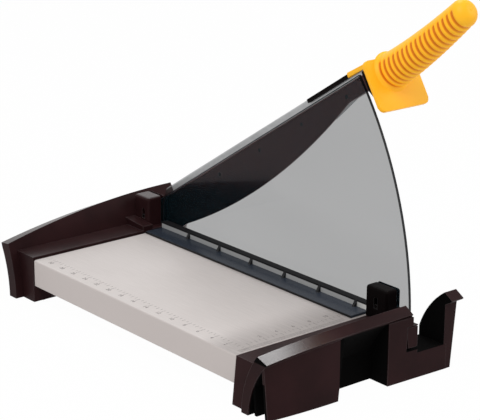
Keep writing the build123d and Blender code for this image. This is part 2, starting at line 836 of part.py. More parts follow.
def disc_spring(left, flip):
    """A coned disc on the stud, opening to the left or to the right."""
    inner = stud_radius + fit
    near, far = (disc_rise, 0.0) if flip else (0.0, disc_rise)
    outline = polygon((near, inner), (near + disc_thickness, inner),
                      (far + disc_thickness, disc_radius), (far, disc_radius))
    return Pos(left, pivot_y, pivot_z) * revolve(make_face(outline), axis=Axis.X)


def make_disc_springs():
    return [disc_spring(disc_left, True), disc_spring(disc_left + disc_stack, False)]


def make_pivot_nut():
    return hex_nut_x(nut_left, nut_left + pivot_nut_thickness, pivot_y, pivot_z, pivot_nut_radius,
                     stud_radius + fit)


def make_pivot_bush():
    bush = rod_x(blade_left, beam_right, 0, 0, bush_radius)
    return raised(bush - rod_x(blade_left - 1, beam_right + 1, 0, 0, stud_radius + fit))


# Arm

blade_end = neck_start - seam
hub_shoulder = hub_radius * cos(radians(45))
blade_screw_places = spread(hub_radius * 4, blade_tip_along, blade_screw_count)
blade_screw_up = (beam_bottom + blade_back) / 2


def make_blade():
    """A flat blade with a bellied cutting edge, ground on its right side."""
    heel = (blade_heel_along, blade_heel_up)
    belly = (blade_belly_along, blade_belly_up)
    tip = (blade_tip_along, blade_tip_up)
    edge = ThreePointArc(heel, belly, tip)
    outline = edge + Polyline(tip, (blade_end, blade_tip_up), (blade_end, blade_back),
                              (2 * hub_radius, blade_back), (-hub_shoulder, hub_shoulder),
                              (hub_shoulder, -hub_shoulder), heel)
    blade = arm_slab(outline, blade_left, blade_right)
    ground = [e for e in blade.edges().filter_by(GeomType.CIRCLE) if e.center().X > blade_right - fit]
    blade = chamfer(ground, blade_bevel, blade_bevel_height)
    blade += rod_x(blade_left, blade_right, 0, 0, hub_radius)
    blade -= rod_x(blade_left - 1, blade_right + 1, 0, 0, bush_radius + fit / 2)
    for along in blade_screw_places:
        blade -= rod_x(blade_left - 1, blade_right + 1, -along, blade_screw_up, blade_screw_radius + fit)
    return raised(blade)


def make_arm_beam():
    """The bar that carries the blade, pocketed from the right, with a tang for the handle."""
    step = hood_start - seam
    beam_tip_up = blade_tip_up + beam_tip_rise
    outline = polygon((hub_shoulder, -hub_shoulder), (-hub_shoulder, hub_shoulder),
                      (2 * hub_radius, beam_back), (step, beam_back),
                      (step, beam_hood_up), (blade_end, beam_hood_up),
                      (blade_end, beam_tip_up), (blade_tip_along, beam_tip_up),
                      (beam_pocket_end, beam_bottom), (5 * hub_radius, beam_bottom))
    beam = arm_slab(outline, blade_right, beam_right)
    beam = chamfer(beam.edges().filter_by(Axis.Y).sort_by(Axis.Z)[-2:].sort_by(Axis.X)[0], beam_chamfer)
    beam += rod_x(blade_right, beam_right, 0, 0, hub_radius)
    pockets = spread(6 * hub_radius, beam_pocket_end, beam_pockets + 1)
    for start, end in zip(pockets, pockets[1:]):
        beam -= block(blade_right + beam_web, beam_right + 1, beam_rib / 2 - end, -beam_rib / 2 - start,
                      beam_bottom + beam_flange, beam_back - beam_flange)
    beam += block(blade_right, blade_right + tang_thickness, -plate_face - tang_depth, -blade_end,
                  tang_bottom, tang_top)
    beam -= rod_x(blade_right - 1, beam_right + 1, 0, 0, bush_radius + fit / 2)
    for along in blade_screw_places:
        beam -= rod_x(blade_right - 1, beam_right + 1, -along, blade_screw_up, blade_screw_radius + fit)
    for along in handle_screw_places:
        beam -= rod_x(blade_right - 1, beam_right, -along, handle_screw_up, handle_screw_radius + fit)
    return raised(beam)


def make_arm_trim():
    """A strip on the beam's left face, in line with the handle's hood."""
    return raised(block(blade_left, blade_right, seam - hood_start, -trim_start,
                        beam_hood_up, beam_back - seam))


def make_blade_screws():
    """Flush screws through blade and beam."""
    return [raised(rod_x(blade_left, blade_right + beam_web, -along, blade_screw_up, blade_screw_radius))
            for along in blade_screw_places]


def make_arm_neck():
    """A block round the tang with a hook that drops into the cradle."""
    end = plate_along
    outline = polygon((neck_start, neck_bottom), (hook_start, hook_bottom), (end, hook_bottom),
                      (end, neck_top), (neck_start, neck_top))
    neck = arm_slab(outline, neck_left, neck_right)
    neck = fillet(neck.edges().filter_by(GeomType.LINE).filter_by(Axis.X), rim_lip_taper / 2)
    neck -= block(blade_right - fit, blade_right + tang_thickness + fit, -end - 1, 1 - neck_start,
                  tang_bottom - fit, tang_top + fit)
    return raised(neck)


# Handle

handle_screw_places = [plate_face + handle_screw_first + handle_screw_spacing * i for i in range(2)]
handle_screw_up = (tang_bottom + tang_top) / 2


def grip_middle(share):
    return grip_base_up + (grip_end_up - grip_base_up) * share ** grip_curve


def grip_radius(share):
    return grip_base_radius + (grip_end_radius - grip_base_radius) * share


def grip_core(inset=0.0):
    """The tapered round grip with a rounded end, or a thinner copy of it."""
    sections = []
    for share in spread(0.0, 1.0, grip_stations):
        place = (handle_centre, -plate_face - grip_length * share, grip_middle(share))
        plane = Plane(origin=place, x_dir=(1, 0, 0), z_dir=(0, -1, 0))
        sections.append(plane * Circle(grip_radius(share) - inset))
    radius = grip_end_radius - inset
    depth = grip_end_round - inset
    flat = radius - depth
    profile = Line((0, 0), (radius, 0)) + Polyline((flat, depth), (0, depth), (0, 0))
    profile += ThreePointArc((radius, 0), (flat + depth * sqrt(0.5), depth * sqrt(0.5)), (flat, depth))
    end = Pos(handle_centre, -plate_face - grip_length, grip_end_up) * Rot(0, 0, 180)
    return loft(sections) + end * revolve(make_face(profile), Axis.Y)


def grip_grooves():
    """Grooves round the grip, apart from a smooth strip on top."""
    reach = 2 * grip_base_radius
    slices = []
    for i in range(groove_count):
        along = groove_first + i * groove_pitch
        near = -plate_face - along - groove_width / 2
        far = near + groove_width
        strip = block(handle_centre - groove_free, handle_centre + groove_free, near - 1, far + 1,
                      grip_middle(along / grip_length), 3 * reach)
        ring = block(handle_centre - reach, handle_centre + reach, near, far, plate_bottom, 2 * reach)
        slices.append(ring - strip)
    return slices


def make_handle():
    plate_middle = handle_centre + plate_shift
    plate = block(plate_middle - plate_width / 2, plate_middle + plate_width / 2, -plate_face, -plate_along,
                  plate_bottom, plate_top)
    plate = fillet(plate.edges().filter_by(Axis.Y), plate_corner)
    plate = fillet(plate.edges().filter_by(GeomType.LINE).filter_by(Axis.X), plate_thickness / 4)
    hood = polygon((hood_start, beam_hood_up), (hood_start, hood_top), (neck_start, hood_top - hood_slope),
                   (plate_along, plate_top), (plate_along, neck_top), (neck_start, neck_top),
                   (neck_start, beam_hood_up))
    hood = arm_slab(hood, hood_left, hood_right)
    hood += block(hood_left, hood_right, -plate_along - plate_thickness / 2, -plate_along, neck_top,
                  plate_top - plate_thickness / 4)
    core = grip_core(groove_depth)
    grip = grip_core() - [piece - core for piece in grip_grooves()]
    handle = plate + hood + grip
    handle -= block(blade_right - fit, blade_right + tang_thickness + fit, -plate_face - tang_depth - seam,
                    1 - plate_along, tang_bottom - fit, tang_top + fit)
    for along in handle_screw_places:
        handle -= rod_x(blade_right, handle_centre + 2 * grip_base_radius, -along, handle_screw_up,
                        handle_screw_radius + fit)
        handle -= rod_x(handle_screw_seat, handle_centre + 2 * grip_base_radius, -along, handle_screw_up,
                        screw_head_radius + fit)
    return raised(handle)


handle_screw_seat = blade_right + tang_thickness + wall


def make_handle_screws():
    screws = []
    for along in handle_screw_places:
        shank = rod_x(blade_right, handle_screw_seat, -along, handle_screw_up, handle_screw_radius)
        head = rod_x(handle_screw_seat, handle_screw_seat + screw_head_height, -along, handle_screw_up,
                     screw_head_radius)
        screws.append(raised(shank + head))
    return screws


def make_parts():
    return {
        "bed_tray": make_bed_tray(),
        "bed_stiffener": make_bed_stiffener(),
        "fixed_knife": make_fixed_knife(),
        "knife_screws": make_knife_screws(),
        "knife_nuts": make_knife_nuts(),
        "front_cap_body": make_front_cap_body(),
        "front_cap_cover": make_front_cap_cover(),
        "rear_cap_body": make_rear_cap_body(),
        "rear_cap_cover": make_rear_cap_cover(),
        "cap_screws": make_cap_screws(),
        "cover_screws": make_cover_screws(),
        "front_left_foot": make_foot(front_left_foot, at_front),
        "front_right_foot": make_foot(front_right_foot, at_front),
        "rear_left_foot": make_foot(rear_left_foot, at_rear),
        "rear_right_foot": make_foot(rear_right_foot, at_rear),
        "front_guide_post": make_front_guide_post(),
        "rear_guide_post": make_rear_guide_post(),
        "post_screws": make_post_screws(),
        "lock_catch": make_lock_catch(),
        "catch_pin": at_front(catch_pin()),
        "guard_panel": make_guard_panel(),
        "front_guard_pin": make_guard_pin(front_post_left, -front_pin_out),
        "rear_guard_pin": make_guard_pin(rear_post_left, bed_length + rear_pin_out),
        "paper_clamp": make_paper_clamp(),
        "pivot_bracket": make_pivot_bracket(),
        "bracket_screws": make_bracket_screws(),
        "pivot_stud": make_pivot_stud(),
        "pivot_washer": make_pivot_washer(),
        "disc_springs": make_disc_springs(),
        "pivot_nut": make_pivot_nut(),
        "pivot_bush": make_pivot_bush(),
        "blade": make_blade(),
        "arm_beam": make_arm_beam(),
        "arm_trim": make_arm_trim(),
        "blade_screws": make_blade_screws(),
        "arm_neck": make_arm_neck(),
        "handle": make_handle(),
        "handle_screws": make_handle_screws(),
    }


def main():
    os.makedirs("parts", exist_ok=True)
    shapes = {name: Compound(made) if isinstance(made, list) else made
              for name, made in make_parts().items()}
    boxes = [shape.bounding_box() for shape in shapes.values()]
    middle_x = (min(box.min.X for box in boxes) + max(box.max.X for box in boxes)) / 2
    middle_y = (min(box.min.Y for box in boxes) + max(box.max.Y for box in boxes)) / 2
    print("origin shift", -middle_x, -middle_y)
    for name, shape in shapes.items():
        export_step(Pos(-middle_x, -middle_y, 0) * shape, f"parts/{name}.step")


main()
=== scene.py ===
import json
import math

import bmesh
import bpy
from mathutils import Matrix, Vector


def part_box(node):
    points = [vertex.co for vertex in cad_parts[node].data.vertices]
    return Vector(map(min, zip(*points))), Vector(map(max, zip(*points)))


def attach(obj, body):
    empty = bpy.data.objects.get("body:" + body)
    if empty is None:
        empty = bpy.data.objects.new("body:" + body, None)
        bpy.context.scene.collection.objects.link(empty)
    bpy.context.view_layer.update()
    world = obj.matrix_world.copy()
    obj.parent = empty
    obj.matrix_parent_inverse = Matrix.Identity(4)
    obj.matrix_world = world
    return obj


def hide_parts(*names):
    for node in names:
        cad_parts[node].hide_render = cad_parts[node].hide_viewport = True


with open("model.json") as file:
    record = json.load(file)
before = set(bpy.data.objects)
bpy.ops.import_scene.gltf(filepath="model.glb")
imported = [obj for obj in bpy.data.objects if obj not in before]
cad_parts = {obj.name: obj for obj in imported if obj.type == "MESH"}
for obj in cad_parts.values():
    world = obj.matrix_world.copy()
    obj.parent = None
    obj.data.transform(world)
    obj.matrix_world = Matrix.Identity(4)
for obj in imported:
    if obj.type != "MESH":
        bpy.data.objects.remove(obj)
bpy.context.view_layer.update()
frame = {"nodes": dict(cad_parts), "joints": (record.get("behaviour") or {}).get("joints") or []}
nodes = frame["nodes"]

scene = bpy.context.scene
scene.view_settings.view_transform = "Standard"


# Places in the frame, in metres

raise_angle = math.radians(32.2)
pivot = Vector(next(joint["pos_m"] for joint in frame["joints"] if joint["name"] == "arm_hinge"))
bed_low, bed_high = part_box("bed_tray")
shear_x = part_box("fixed_knife")[1][0]
cover_low, cover_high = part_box("front_cap_cover")

# Front cover: its rim, and the places where shade is painted: the gap behind its panel, the recess beside it,
# the rim's end, the notch and the catch's slot
rim_front = bed_low[1] - 0.028
polish_start, polish_end = cover_low.x + 0.012, cover_low.x + 0.090
flare_radius = 0.097
fin_front = cover_high.y - 0.0085
panel_front = cover_high.y - 0.0295
recess_left, recess_right = cover_low.x + 0.083, cover_low.x + 0.1394
recess_front, recess_top = cover_high.y - 0.0385, 0.0625
rim_end_low, rim_end_back = 0.0542, cover_high.y - 0.0160
notch_left, notch_right = shear_x - 0.0095, shear_x + 0.0235
notch_front, notch_back = cover_low.y + 0.0080, cover_high.y - 0.008
floor_low, floor_high = 0.0262, 0.0268
slot_left, slot_right = shear_x - 0.0228, shear_x - 0.0093
slot_low, slot_high = 0.0295, 0.0327

# Paper clamp
strip_top = bed_high[2] + 0.0026
flange_low, flange_high = 0.0540, 0.0548
step_x = shear_x - 0.0137


# Node trees


class Link:
    """One output of a node. Sums and comparisons on it become Math nodes."""

    def __init__(self, socket):
        self.socket = socket
        self.tree = socket.id_data

    def math(self, operation, *values):
        return add_node(self.tree, "ShaderNodeMath", {"operation": operation}, dict(enumerate(values)))

    def __add__(self, other):
        return self.math("ADD", self, other)

    def __radd__(self, other):
        return self.math("ADD", other, self)

    def __sub__(self, other):
        return self.math("SUBTRACT", self, other)

    def __rsub__(self, other):
        return self.math("SUBTRACT", other, self)

    def __mul__(self, other):
        return self.math("MULTIPLY", self, other)

    def __rmul__(self, other):
        return self.math("MULTIPLY", other, self)

    def __gt__(self, other):
        return self.math("GREATER_THAN", self, other)

    def __lt__(self, other):
        return self.math("LESS_THAN", self, other)

    def __abs__(self):
        return self.math("ABSOLUTE", self)

    def within(self, low, high):
        return (self > low) * (self < high)


def add_node(tree, kind, settings=None, sockets=None, out=0):
    node = tree.nodes.new(kind)
    for name, value in (settings or {}).items():
        setattr(node, name, value)
    for name, value in (sockets or {}).items():
        if isinstance(value, Link):
            tree.links.new(value.socket, node.inputs[name])
        else:
            node.inputs[name].default_value = value
    return Link(node.outputs[out]) if node.outputs else None


class Finish:
    """A material in the making: where it is, what it is made of, and its shader."""

    def __init__(self, name):
        self.material = bpy.data.materials.new(name)
        self.material.use_nodes = True
        self.tree = self.material.node_tree
        self.tree.nodes.clear()
        self.place = self.node("ShaderNodeTexCoord", out="Object")

    def node(self, kind, settings=None, sockets=None, out=0):
        return add_node(self.tree, kind, settings, sockets, out)

    def noise(self, scale, stretch=(1, 1, 1), detail=2.0):
        """Even noise from 0 to 1; a stretch below 1 draws it out along that axis."""
        place = self.node("ShaderNodeMapping", {}, {"Vector": self.place, "Scale": stretch})
        return self.node("ShaderNodeTexNoise", {}, {"Vector": place, "Scale": scale, "Detail": detail})

    def mix(self, share, first, second):
        """A blend of two colours, each a link or three numbers."""
        first, second = [colour if isinstance(colour, Link) else (*colour, 1) for colour in (first, second)]
        return self.node("ShaderNodeMix", {"data_type": "RGBA"}, {0: share, 6: first, 7: second}, out=2)

    def band(self, value, low, high):
        """A smooth step from 0 at the low end to 1 at the high end."""
        return self.node("ShaderNodeMapRange", {"interpolation_type": "SMOOTHSTEP"},
                         {0: value, 1: low, 2: high})

    def facing(self, axis):
        """How far the surface faces along one axis, from -1 to 1."""
        normal = self.node("ShaderNodeNewGeometry", out="True Normal")
        return self.node("ShaderNodeSeparateXYZ", {}, {0: normal}, out=axis)

    def along(self, axis):
        """The place on one axis, in metres."""
        return self.node("ShaderNodeSeparateXYZ", {}, {0: self.place}, out=axis)

    def soft_edge(self, radius):
        """A normal that rounds the edges, and how near an edge the surface is."""
        round_normal = self.node("ShaderNodeBevel", {"samples": 6}, {"Radius": radius})
        flat = self.node("ShaderNodeNewGeometry", out="Normal")
        along = self.node("ShaderNodeVectorMath", {"operation": "DOT_PRODUCT"},
                          {0: round_normal, 1: flat}, out=1)
        return round_normal, self.band(1 - along, 0.01, 0.14)

    def bump(self, height, distance, **normal):
        return self.node("ShaderNodeBump", {}, {"Height": height, "Distance": distance, **normal})

    def shader(self, **sockets):
        """Ends the material in one Principled shader; _ in a name stands for a space."""
        sockets = {name.replace("_", " "): value for name, value in sockets.items()}
        shader = self.node("ShaderNodeBsdfPrincipled", {}, sockets)
        self.node("ShaderNodeOutputMaterial", {}, {"Surface": shader})
        return self.material


# Finishes


def smooth_tops(finish, polish):
    """Upward faces are smoother, more so at the rear, and the front rim most of all at its left end."""
    rear = finish.along(1) > bed_high[1]
    rim = finish.along(1) < rim_front
    left = 1 - finish.band(finish.along(0), polish_start, polish_end)
    upward = finish.band(finish.facing(2), 0.72, 0.86)
    return upward * (polish + rear * polish * 1.5 + rim * (left - polish * 0.85))


def painted_hollow_shade(finish):
    """Painted shade: the front cover's hollows, coloured near black and made rough and unpolished."""
    x, y, z = [finish.along(axis) for axis in range(3)]
    right, back, up = [finish.facing(axis) for axis in range(3)]
    recess = x.within(recess_left, recess_right) * y.within(recess_front, cover_high.y) * (z < recess_top)
    recess = recess * (up < 0.2) * (back < 0.1)
    flare = z * z * (1 / (2 * flare_radius))
    behind_panel = x.within(cover_low.x + 0.0015, recess_left) * (y > panel_front) * (y + flare < fin_front)
    behind_panel = behind_panel * (up < 0.2)
    rim_end = (x < cover_low.x + 0.0006) * (z > rim_end_low) * (y < rim_end_back)
    notch_wall = (x > notch_right - 0.001) * (y < notch_back) * (right < -0.6)
    notch_floor = x.within(notch_left, notch_right) * y.within(notch_front, cover_high.y)
    notch_floor = notch_floor * z.within(floor_low, floor_high)
    catch_slot = x.within(slot_left, slot_right) * (y < cover_high.y) * z.within(slot_low, slot_high)
    return recess + behind_panel + rim_end + notch_wall + notch_floor + catch_slot


def moulded_plastic(name, dark, light, roughness, gloss=0.05, polish=0.2):
    """Moulded plastic: fine grain, a slow change of tone, edges coloured lighter as a painted highlight,
    painted shade in the front cover's hollows, and smoother tops.
    """
    finish = Finish(name)
    fine = finish.noise(2600, detail=1)
    slow = finish.noise(22, detail=3)
    normal, edge_highlight = finish.soft_edge(0.0006)
    hollow_shade = painted_hollow_shade(finish)
    plastic_edge_highlight = [0.16 + 1.9 * part for part in light]
    tone = finish.mix(finish.band(slow, 0.3, 0.7), dark, light)
    # painted highlight: the edges are coloured lighter
    tone = finish.mix(edge_highlight * slow * 0.8, tone, plastic_edge_highlight)
    uneven = 0.10 * (slow - 0.5) + 0.05 * fine - 0.06 * edge_highlight
    # painted shade: the front cover's hollows are coloured near black
    return finish.shader(Base_Color=finish.mix(hollow_shade, tone, (0.0012, 0.001, 0.001)),
                         Roughness=roughness + uneven + 0.5 * hollow_shade, Specular_IOR_Level=gloss,
                         Coat_Weight=smooth_tops(finish, polish) * (1 - hollow_shade),
                         Coat_Roughness=0.24, Coat_IOR=1.8,
                         Normal=finish.bump(fine, 0.00002, Normal=normal))


def brushed_metal(name, dark, light, roughness, metallic, brush, stroke=0.000006, dark_reach=None):
    """Metal with fine brush marks along one axis, drawn out where brush is small, and edges coloured lighter
    as a painted highlight.

    With a reach given, the arm from its pivot up to that distance is coloured near black and not metallic.
    """
    finish = Finish(name)
    marks = finish.noise(3200, brush, detail=3)
    slow = finish.noise(9, detail=3)
    normal, edge_highlight = finish.soft_edge(0.0004)
    metal_edge_highlight = [min(1.0, 1.15 * part) for part in light]
    tone = finish.mix(finish.band(marks * 0.5 + slow * 0.5, 0.35, 0.65), dark, light)
    # painted highlight: the edges are coloured lighter
    tone = finish.mix(edge_highlight * 0.6, tone, metal_edge_highlight)
    if dark_reach:
        ahead, up = pivot.y - finish.along(1), finish.along(2) - pivot.z
        along_arm = ahead * math.cos(raise_angle) + up * math.sin(raise_angle)
        beyond_dark_reach = finish.band(along_arm, dark_reach - 0.0003, dark_reach + 0.0003)
        tone = finish.mix(beyond_dark_reach, (0.020, 0.011, 0.011), tone)
        metallic = metallic * beyond_dark_reach
    return finish.shader(Base_Color=tone, Metallic=metallic,
                         Roughness=roughness + 0.12 * (marks - 0.5) + 0.06 * (slow - 0.5),
                         Normal=finish.bump(marks, stroke, Normal=normal))


def bed_finish():
    """Painted sheet with faint marks along it, its top coloured paler than its sides as painted light, the
    top darker towards the near end as painted shade, and bright where it is bent as a painted highlight.
    """
    finish = Finish("bed_metal")
    marks = finish.noise(2600, (1, 0.015, 1), detail=3)
    slow = finish.noise(9, detail=3)
    normal, edge_highlight = finish.soft_edge(0.0009)
    # painted light: the sides are coloured darker and the top paler
    side = finish.mix(slow, (0.545, 0.485, 0.46), (0.61, 0.545, 0.52))
    top = finish.mix(finish.band(marks * 0.6 + slow * 0.4, 0.35, 0.65),
                     (0.64, 0.585, 0.56), (0.71, 0.655, 0.63))
    # painted shade: the top is coloured darker towards the near end
    near = finish.mix(finish.band(marks, 0.3, 0.7), (0.40, 0.36, 0.345), (0.50, 0.455, 0.435))
    top = finish.mix(finish.band(finish.along(1), bed_low[1] + 0.012, bed_low[1] + 0.060), near, top)
    tone = finish.mix(finish.band(finish.facing(2), 0.4, 0.9), side, top)
    # painted highlight: the edges are coloured lighter
    return finish.shader(Base_Color=finish.mix(edge_highlight * 0.7, tone, (0.82, 0.77, 0.75)), Metallic=0.2,
                         Roughness=0.44 + 0.10 * (marks - 0.5) + 0.06 * (slow - 0.5),
                         Normal=finish.bump(marks, 0.000005, Normal=normal))


def rubber_finish():
    finish = Finish("rubber")
    fine = finish.noise(1500, detail=2)
    slow = finish.noise(60, detail=2)
    normal, edge_highlight = finish.soft_edge(0.0005)
    tone = finish.mix(slow, (0.012, 0.012, 0.012), (0.022, 0.021, 0.020))
    # painted highlight: the edges are coloured lighter
    return finish.shader(Base_Color=finish.mix(edge_highlight * 0.5, tone, (0.04, 0.04, 0.04)),
                         Roughness=0.74 + 0.12 * fine, Specular_IOR_Level=0.3,
                         Normal=finish.bump(fine, 0.00003, Normal=normal))


def clear_guard():
    """Smoky clear sheet whose cut edges look black."""
    finish = Finish("guard_clear")
    face = finish.band(abs(finish.facing(0)), 0.6, 0.8)
    slow = finish.noise(6, detail=2)
    streak = finish.noise(9, (1, 0.35, 1.3), detail=1)
    fine = finish.noise(14, (1, 0.4, 1), detail=1)
    tint = finish.mix(slow, (0.004, 0.011, 0.015), (0.008, 0.018, 0.023))
    smoke = 0.375 + 0.02 * (slow - 0.5) + 0.05 * (streak - 0.5)
    return finish.shader(Base_Color=finish.mix(face, (0.006, 0.006, 0.007), tint),
                         Roughness=0.03 + 0.02 * slow + (1 - face) * 0.5, Specular_IOR_Level=0.12,
                         Alpha=smoke * face + 0.97 * (1 - face), IOR=1.49,
                         Normal=finish.bump(fine, 0.00004))


def clear_clamp():
    """Smoky strip: slate on top, its upright pale and brighter towards the near end as a painted highlight,
    its upper flange and gussets nearly black, and its other edges lighter as a painted highlight.
    """
    finish = Finish("clamp_clear")
    height = finish.along(2)
    above_strip = height > strip_top
    side = finish.band(-1 * finish.facing(0), 0.7, 0.9)
    gusset = (finish.along(0) < step_x) * above_strip
    upper = finish.band(height, flange_low, flange_high)
    near = 1 - finish.band(finish.along(1), bed_low[1] + 0.004, bed_low[1] + 0.026)
    slow = finish.noise(8, (1, 0.15, 1), detail=3)
    fine = finish.noise(900, detail=1)
    normal, edge_highlight = finish.soft_edge(0.0003)
    black = (0.006, 0.006, 0.007)
    slate = finish.mix(finish.band(slow, 0.35, 0.65), (0.026, 0.033, 0.046), (0.052, 0.060, 0.078))
    pale = finish.mix(slow, (0.33, 0.33, 0.33), (0.56, 0.555, 0.54))
    # painted highlight: the upright is coloured brighter towards the near end
    pale = finish.mix(near, pale, (0.90, 0.88, 0.83))
    tone = finish.mix(side, slate, black)
    tone = finish.mix(side * (1 - upper) * above_strip, tone, pale)
    tone = finish.mix(upper, tone, black)
    tone = finish.mix(gusset, tone, (0.010, 0.010, 0.011))
    # painted highlight: the edges are coloured lighter, except on the upper flange
    return finish.shader(Base_Color=finish.mix(edge_highlight * (1 - upper) * 0.25, tone, (0.20, 0.21, 0.22)),
                         Roughness=0.20 + 0.08 * slow + 0.45 * upper, Specular_IOR_Level=0.15,
                         Alpha=0.95 + 0.045 * upper,
                         Normal=finish.bump(fine, 0.000004, Normal=normal))


def amber_plastic():
    """Yellow handle plastic, glowing faintly as painted light; the attribute holds painted shade for the
    grooves: how deep a point lies in a groove, darker towards the upper ends of the grooves.
    """
    finish = Finish("handle_amber")
    groove_shade = finish.node("ShaderNodeAttribute", {"attribute_name": "groove"}, out="Fac")
    fine = finish.noise(1900, detail=1)
    slow = finish.noise(18, detail=2)
    tone = finish.mix(slow, (0.98, 0.43, 0.012), (1.0, 0.52, 0.022))
    # painted shade: the grooves are coloured darker red-brown
    tone = finish.mix(finish.band(groove_shade, 0.15, 0.95), tone, (0.62, 0.15, 0.004))
    # painted light: the handle glows faintly in its own colour
    return finish.shader(Base_Color=tone, Roughness=0.36 + 0.08 * slow + 0.05 * fine,
                         Specular_IOR_Level=0.2, Emission_Color=tone, Emission_Strength=0.13,
                         Normal=finish.bump(fine, 0.000012))


def print_ink():
    finish = Finish("print_ink")
    speckle = finish.noise(2400, detail=2)
    tone = finish.mix(speckle, (0.10, 0.085, 0.085), (0.23, 0.20, 0.195))
    return finish.shader(Base_Color=tone, Roughness=0.5 + 0.1 * speckle, Specular_IOR_Level=0.3)


cap_plastic = moulded_plastic("cap_plastic", (0.018, 0.0068, 0.0072), (0.027, 0.0098, 0.0104), 0.40)
black_plastic = moulded_plastic("black_plastic", (0.0030, 0.0020, 0.0020), (0.0060, 0.0038, 0.0038), 0.46,
                                gloss=0.02, polish=0.08)
bed_metal = bed_finish()
knife_steel = brushed_metal("knife_steel", (0.42, 0.42, 0.43), (0.56, 0.56, 0.57), 0.30, 1.0, (1, 0.02, 1))
beam_metal = brushed_metal("beam_metal", (0.33, 0.335, 0.34), (0.43, 0.435, 0.44), 0.36, 0.85,
                           (1, 0.02, 0.05), dark_reach=0.0365)
blade_dark = brushed_metal("blade_dark", (0.125, 0.058, 0.056), (0.150, 0.073, 0.070), 0.22, 1.0,
                           (1, 0.3, 0.02), stroke=0.000002)
black_steel = brushed_metal("black_steel", (0.010, 0.009, 0.009), (0.020, 0.018, 0.018), 0.42, 0.3, (1, 1, 1))
zinc = brushed_metal("zinc", (0.46, 0.46, 0.46), (0.62, 0.61, 0.60), 0.34, 1.0, (1, 1, 1))
brass = brushed_metal("brass", (0.50, 0.33, 0.10), (0.66, 0.45, 0.16), 0.30, 1.0, (0.05, 1, 1))
rubber = rubber_finish()
guard_clear = clear_guard()
clamp_clear = clear_clamp()
handle_amber = amber_plastic()
ink = print_ink()

finish_of_node = {
    "bed_tray": bed_metal, "bed_stiffener": bed_metal, "fixed_knife": knife_steel,
    "knife_screws": zinc, "knife_nuts": zinc, "front_cap_body": cap_plastic, "front_cap_cover": cap_plastic,
    "rear_cap_body": cap_plastic, "rear_cap_cover": cap_plastic, "cap_screws": zinc, "cover_screws": zinc,
    "front_left_foot": rubber, "front_right_foot": rubber,
    "rear_left_foot": rubber, "rear_right_foot": rubber,
    "front_guide_post": black_plastic, "rear_guide_post": cap_plastic, "post_screws": zinc,
    "lock_catch": cap_plastic, "catch_pin": zinc, "guard_panel": guard_clear, "paper_clamp": clamp_clear,
    "front_guard_pin": black_plastic, "rear_guard_pin": black_plastic,
    "pivot_bracket": knife_steel, "bracket_screws": zinc, "pivot_stud": knife_steel, "pivot_washer": zinc,
    "disc_springs": knife_steel, "pivot_nut": zinc, "pivot_bush": brass,
    "blade": blade_dark, "arm_beam": beam_metal, "arm_trim": black_plastic, "blade_screws": black_steel,
    "arm_neck": black_plastic, "handle": handle_amber, "handle_screws": zinc,
}
for name, finish in finish_of_node.items():
    slots = nodes[name].data.materials
    slots.clear()
    slots.append(finish)


# Meshes and pieces


def on_arm(across, along, up):
    """A point of the raised arm, in metres, from millimetres across, along and up from the pivot."""
    flat = Vector((across, -along, up)) / 1000
    return Matrix.Rotation(-raise_angle, 3, "X") @ flat + Vector((shear_x, pivot.y, pivot.z))


def mesh_from(shell, name):
    bmesh.ops.recalc_face_normals(shell, faces=shell.faces)
    mesh = bpy.data.meshes.new(name)
    shell.to_mesh(mesh)
    shell.free()
    return mesh


def linked(name, data):
    item = bpy.data.objects.new(name, data)
    scene.collection.objects.link(item)
    return item


def evaluated_mesh(item):
    """The item's mesh after its modifiers; the item itself goes."""
    mesh = bpy.data.meshes.new_from_object(item.evaluated_get(bpy.context.evaluated_depsgraph_get()))
    bpy.data.objects.remove(item)
    return mesh


def piece_of(name, mesh, material, body, smooth=True):
    mesh.materials.clear()
    mesh.materials.append(material)
    piece = linked(name, mesh)
    for face in mesh.polygons:
        face.use_smooth = smooth
    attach(piece, body)
    return piece


# Handle, in millimetres across, along and up from the pivot

plate_back, plate_face = 408.5, 412.5
plate_left, plate_right, plate_bottom, plate_top = -25.8, 34.2, -15.0, 34.0
plate_corner = 5.0
hood_left, hood_right = -0.2, 9.0
hood_start, neck_start, hood_end = 358.0, 384.6, 410.0
beam_top, neck_top = 35.5, 32.0
grip_middle = 2.5
grip_length = 106.5
grip_radius, grip_narrows = 17.3, 4.5
grip_up, grip_bend = 20.0, 10.5
grip_round = 10.0
grip_sides = 64
groove_places = [plate_face + 4.0 + 6.3 * i for i in range(17)]
groove_depth, groove_half = 1.15, 2.1
groove_lead, groove_run = 1.2, 1.4
strip_share, strip_widens, strip_edge = 0.76, 0.10, 0.10
root_flare, root_length = 2.2, 2.4
pip_radius, pip_top_radius, pip_side, pip_height = 1.5, 1.2, 0.25, 0.3
bore_places, bore_up, bore_radius, bore_floor = (428.5, 462.5), 22.0, 3.5, 12.65


def clamped(value):
    return min(1.0, max(0.0, value))


def grip_share(along):
    return clamped((along - plate_face) / grip_length)


def grip_ring(along):
    """Centre height and radius of the grip."""
    share = grip_share(along)
    return grip_up + grip_bend * share ** 1.7, grip_radius - grip_narrows * share


def groove_share(along):
    """How deep a groove is at a place along the grip; it fades out towards the plate."""
    nearest = min(abs(along - place) for place in groove_places)
    start = clamped((along - plate_face - groove_lead) / groove_run)
    return start * max(0.0, 1 - (nearest / groove_half) ** 2) ** 0.8


def grip_corner(shell, reach, turn, along, up):
    return shell.verts.new(on_arm(grip_middle + reach * math.sin(turn), along, up + reach * math.cos(turn)))


